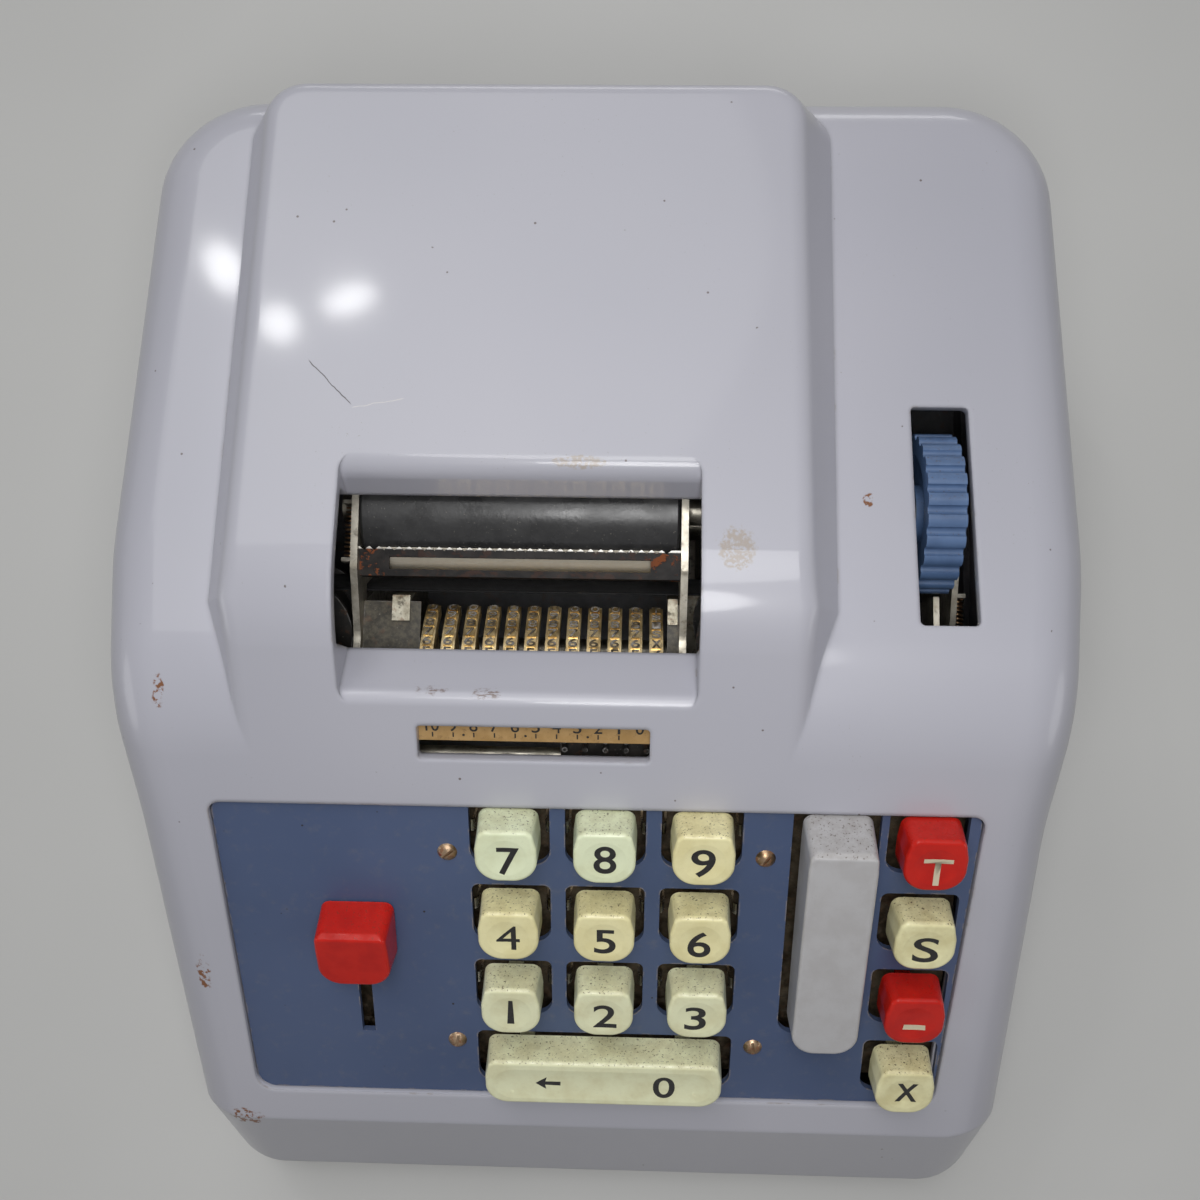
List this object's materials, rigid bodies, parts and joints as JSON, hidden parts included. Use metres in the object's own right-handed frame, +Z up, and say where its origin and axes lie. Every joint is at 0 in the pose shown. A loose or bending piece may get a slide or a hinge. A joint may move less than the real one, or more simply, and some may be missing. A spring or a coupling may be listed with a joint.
{
  "type": "adding machine",
  "caption": "Desktop electric adding machine: sloping key panel with number keys and bars, printing window over a platen and type sectors, paper wheel and slider lever.",
  "frame": {"origin": "on the table, under the middle of the machine's outer box", "axes": "+X to the operator's right, +Y to the rear, +Z up"},
  "size_m": [0.195, 0.243, 0.1081],
  "materials": {
    "casing_paint": "glossy grey-lavender enamel",
    "panel_paint": "blue enamel",
    "key_ivory": "moulded, slightly yellowed",
    "key_grey": "moulded",
    "key_red": "moulded",
    "wheel_blue": "moulded, slate blue",
    "black_rubber": "worn",
    "steel": "plated",
    "dark_steel": "blackened",
    "olive_plate": "dark olive, textured",
    "bronze_screw": "bronzed, rusty",
    "brass": "aged",
    "ochre_strip": "printed numbers",
    "ribbon_cloth": "inked",
    "paper": "matt",
    "motor_paint": "grey",
    "black_plastic": "moulded",
    "pan_paint": "grey"
  },
  "bodies": {
    "machine": {"upper_cover": "casing_paint", "base_pan": "pan_paint", "rubber_feet": "black_rubber", "cover_screws": "steel", "keyboard_panel": "panel_paint", "panel_screws": "bronze_screw", "scale_strip": "ochre_strip", "power_inlet": "black_plastic", "upper_guide_plate": "steel", "lower_guide_plate": "steel", "keyboard_posts": "steel", "key_springs": "steel", "side_frame_left": "steel", "side_frame_right": "steel", "frame_rods": "steel", "wheel_bracket": "steel", "tear_bar": "dark_steel", "paper_strip": "paper", "ribbon": "ribbon_cloth", "ribbon_brackets": "steel", "sector_plates": "olive_plate", "detent_springs": "bronze_screw", "motor_housing": "motor_paint", "drive_belt": "black_rubber"},
    "key_0_body": {"key_0": "key_ivory"},
    "key_1_body": {"key_1": "key_ivory"},
    "key_2_body": {"key_2": "key_ivory"},
    "key_3_body": {"key_3": "key_ivory"},
    "key_4_body": {"key_4": "key_ivory"},
    "key_5_body": {"key_5": "key_ivory"},
    "key_6_body": {"key_6": "key_ivory"},
    "key_7_body": {"key_7": "key_ivory"},
    "key_8_body": {"key_8": "key_ivory"},
    "key_9_body": {"key_9": "key_ivory"},
    "key_total_body": {"key_total": "key_red"},
    "key_subtotal_body": {"key_subtotal": "key_ivory"},
    "key_minus_body": {"key_minus": "key_red"},
    "key_repeat_body": {"key_repeat": "key_ivory"},
    "motor_bar_body": {"motor_bar": "key_grey"},
    "lever_body": {"slider_lever": "key_red"},
    "carriage_body": {"pin_carriage": "dark_steel"},
    "platen_body": {"platen_roller": "black_rubber", "platen_shaft": "steel", "thumbwheel": "wheel_blue"},
    "type_sector_01_body": {"type_sector_01": "brass"},
    "type_sector_02_body": {"type_sector_02": "brass"},
    "type_sector_03_body": {"type_sector_03": "brass"},
    "type_sector_04_body": {"type_sector_04": "brass"},
    "type_sector_05_body": {"type_sector_05": "brass"},
    "type_sector_06_body": {"type_sector_06": "brass"},
    "type_sector_07_body": {"type_sector_07": "brass"},
    "type_sector_08_body": {"type_sector_08": "brass"},
    "type_sector_09_body": {"type_sector_09": "brass"},
    "type_sector_10_body": {"type_sector_10": "brass"},
    "type_sector_11_body": {"type_sector_11": "brass"},
    "type_sector_12_body": {"type_sector_12": "brass"},
    "ribbon_spool_left_body": {"ribbon_spool_left": "dark_steel"},
    "ribbon_spool_right_body": {"ribbon_spool_right": "dark_steel"},
    "cam_shaft_body": {"cam_shaft": "steel"},
    "rotor_body": {"motor_rotor": "steel"}
  },
  "joints": [
    {"name": "key_0_press", "type": "slide", "parent": "machine", "child": "key_0_body", "axis": [0, 0.5, -0.866], "range_m": [0, 0.0036], "stiffness_N_per_m": 220, "springref_m": -0.004, "deforming": ["key_springs"]},
    {"name": "key_1_press", "type": "slide", "parent": "machine", "child": "key_1_body", "axis": [0, 0.5, -0.866], "range_m": [0, 0.0036], "stiffness_N_per_m": 150, "springref_m": -0.004, "deforming": ["key_springs"]},
    {"name": "key_2_press", "type": "slide", "parent": "machine", "child": "key_2_body", "axis": [0, 0.5, -0.866], "range_m": [0, 0.0036], "stiffness_N_per_m": 150, "springref_m": -0.004, "deforming": ["key_springs"]},
    {"name": "key_3_press", "type": "slide", "parent": "machine", "child": "key_3_body", "axis": [0, 0.5, -0.866], "range_m": [0, 0.0036], "stiffness_N_per_m": 150, "springref_m": -0.004, "deforming": ["key_springs"]},
    {"name": "key_4_press", "type": "slide", "parent": "machine", "child": "key_4_body", "axis": [0, 0.5, -0.866], "range_m": [0, 0.0036], "stiffness_N_per_m": 150, "springref_m": -0.004, "deforming": ["key_springs"]},
    {"name": "key_5_press", "type": "slide", "parent": "machine", "child": "key_5_body", "axis": [0, 0.5, -0.866], "range_m": [0, 0.0036], "stiffness_N_per_m": 150, "springref_m": -0.004, "deforming": ["key_springs"]},
    {"name": "key_6_press", "type": "slide", "parent": "machine", "child": "key_6_body", "axis": [0, 0.5, -0.866], "range_m": [0, 0.0036], "stiffness_N_per_m": 150, "springref_m": -0.004, "deforming": ["key_springs"]},
    {"name": "key_7_press", "type": "slide", "parent": "machine", "child": "key_7_body", "axis": [0, 0.5, -0.866], "range_m": [0, 0.0036], "stiffness_N_per_m": 150, "springref_m": -0.004, "deforming": ["key_springs"]},
    {"name": "key_8_press", "type": "slide", "parent": "machine", "child": "key_8_body", "axis": [0, 0.5, -0.866], "range_m": [0, 0.0036], "stiffness_N_per_m": 150, "springref_m": -0.004, "deforming": ["key_springs"]},
    {"name": "key_9_press", "type": "slide", "parent": "machine", "child": "key_9_body", "axis": [0, 0.5, -0.866], "range_m": [0, 0.0036], "stiffness_N_per_m": 150, "springref_m": -0.004, "deforming": ["key_springs"]},
    {"name": "key_total_press", "type": "slide", "parent": "machine", "child": "key_total_body", "axis": [0, 0.5, -0.866], "range_m": [0, 0.0036], "stiffness_N_per_m": 150, "springref_m": -0.004, "deforming": ["key_springs"]},
    {"name": "key_subtotal_press", "type": "slide", "parent": "machine", "child": "key_subtotal_body", "axis": [0, 0.5, -0.866], "range_m": [0, 0.0036], "stiffness_N_per_m": 150, "springref_m": -0.004, "deforming": ["key_springs"]},
    {"name": "key_minus_press", "type": "slide", "parent": "machine", "child": "key_minus_body", "axis": [0, 0.5, -0.866], "range_m": [0, 0.0036], "stiffness_N_per_m": 150, "springref_m": -0.004, "deforming": ["key_springs"]},
    {"name": "key_repeat_press", "type": "slide", "parent": "machine", "child": "key_repeat_body", "axis": [0, 0.5, -0.866], "range_m": [0, 0.0036], "stiffness_N_per_m": 150, "springref_m": -0.004, "deforming": ["key_springs"]},
    {"name": "motor_bar_press", "type": "slide", "parent": "machine", "child": "motor_bar_body", "axis": [0, 0.5, -0.866], "range_m": [0, 0.0036], "stiffness_N_per_m": 220, "springref_m": -0.004, "deforming": ["key_springs"]},
    {"name": "lever_slide", "type": "slide", "parent": "machine", "child": "lever_body", "axis": [0, -0.866, -0.5], "range_m": [0, 0.025]},
    {"name": "carriage_step", "type": "slide", "parent": "machine", "child": "carriage_body", "axis": [-1, 0, 0], "range_m": [0, 0.0395]},
    {"name": "platen_turn", "type": "hinge", "parent": "machine", "child": "platen_body", "pos_m": [0, 0.0287, 0.0797], "axis": [1, 0, 0], "continuous": true},
    {"name": "type_sector_01_swing", "type": "hinge", "parent": "machine", "child": "type_sector_01_body", "pos_m": [0, -0.01345, 0.06284], "axis": [1, 0, 0], "range_deg": [-60, 0], "stiffness_Nm_per_rad": 0.003, "springref_deg": 57.3},
    {"name": "type_sector_02_swing", "type": "hinge", "parent": "machine", "child": "type_sector_02_body", "pos_m": [0, -0.01345, 0.06284], "axis": [1, 0, 0], "range_deg": [-60, 0], "stiffness_Nm_per_rad": 0.003, "springref_deg": 57.3},
    {"name": "type_sector_03_swing", "type": "hinge", "parent": "machine", "child": "type_sector_03_body", "pos_m": [0, -0.01345, 0.06284], "axis": [1, 0, 0], "range_deg": [-60, 0], "stiffness_Nm_per_rad": 0.003, "springref_deg": 57.3},
    {"name": "type_sector_04_swing", "type": "hinge", "parent": "machine", "child": "type_sector_04_body", "pos_m": [0, -0.01345, 0.06284], "axis": [1, 0, 0], "range_deg": [-60, 0], "stiffness_Nm_per_rad": 0.003, "springref_deg": 57.3},
    {"name": "type_sector_05_swing", "type": "hinge", "parent": "machine", "child": "type_sector_05_body", "pos_m": [0, -0.01345, 0.06284], "axis": [1, 0, 0], "range_deg": [-60, 0], "stiffness_Nm_per_rad": 0.003, "springref_deg": 57.3},
    {"name": "type_sector_06_swing", "type": "hinge", "parent": "machine", "child": "type_sector_06_body", "pos_m": [0, -0.01345, 0.06284], "axis": [1, 0, 0], "range_deg": [-60, 0], "stiffness_Nm_per_rad": 0.003, "springref_deg": 57.3},
    {"name": "type_sector_07_swing", "type": "hinge", "parent": "machine", "child": "type_sector_07_body", "pos_m": [0, -0.01345, 0.06284], "axis": [1, 0, 0], "range_deg": [-60, 0], "stiffness_Nm_per_rad": 0.003, "springref_deg": 57.3},
    {"name": "type_sector_08_swing", "type": "hinge", "parent": "machine", "child": "type_sector_08_body", "pos_m": [0, -0.01345, 0.06284], "axis": [1, 0, 0], "range_deg": [-60, 0], "stiffness_Nm_per_rad": 0.003, "springref_deg": 57.3},
    {"name": "type_sector_09_swing", "type": "hinge", "parent": "machine", "child": "type_sector_09_body", "pos_m": [0, -0.01345, 0.06284], "axis": [1, 0, 0], "range_deg": [-60, 0], "stiffness_Nm_per_rad": 0.003, "springref_deg": 57.3},
    {"name": "type_sector_10_swing", "type": "hinge", "parent": "machine", "child": "type_sector_10_body", "pos_m": [0, -0.01345, 0.06284], "axis": [1, 0, 0], "range_deg": [-60, 0], "stiffness_Nm_per_rad": 0.003, "springref_deg": 57.3},
    {"name": "type_sector_11_swing", "type": "hinge", "parent": "machine", "child": "type_sector_11_body", "pos_m": [0, -0.01345, 0.06284], "axis": [1, 0, 0], "range_deg": [-60, 0], "stiffness_Nm_per_rad": 0.003, "springref_deg": 57.3},
    {"name": "type_sector_12_swing", "type": "hinge", "parent": "machine", "child": "type_sector_12_body", "pos_m": [0, -0.01345, 0.06284], "axis": [1, 0, 0], "range_deg": [-60, 0], "stiffness_Nm_per_rad": 0.003, "springref_deg": 57.3},
    {"name": "ribbon_spool_left_turn", "type": "hinge", "parent": "machine", "child": "ribbon_spool_left_body", "pos_m": [-0.0616, 0.00509, 0.07026], "axis": [0, -0.3714, 0.9285], "continuous": true},
    {"name": "ribbon_spool_right_turn", "type": "hinge", "parent": "machine", "child": "ribbon_spool_right_body", "pos_m": [0.0334, 0.00509, 0.07026], "axis": [0, -0.3714, 0.9285], "continuous": true},
    {"name": "cam_shaft_turn", "type": "hinge", "parent": "machine", "child": "cam_shaft_body", "pos_m": [0, 0.034, 0.036], "axis": [1, 0, 0], "continuous": true},
    {"name": "motor_turn", "type": "hinge", "parent": "machine", "child": "rotor_body", "pos_m": [0, 0.088, 0.04], "axis": [1, 0, 0], "continuous": true}
  ],
  "couplings": [
    {"joint": "motor_turn", "follows": "cam_shaft_turn", "ratio": 2.8079}
  ]
}
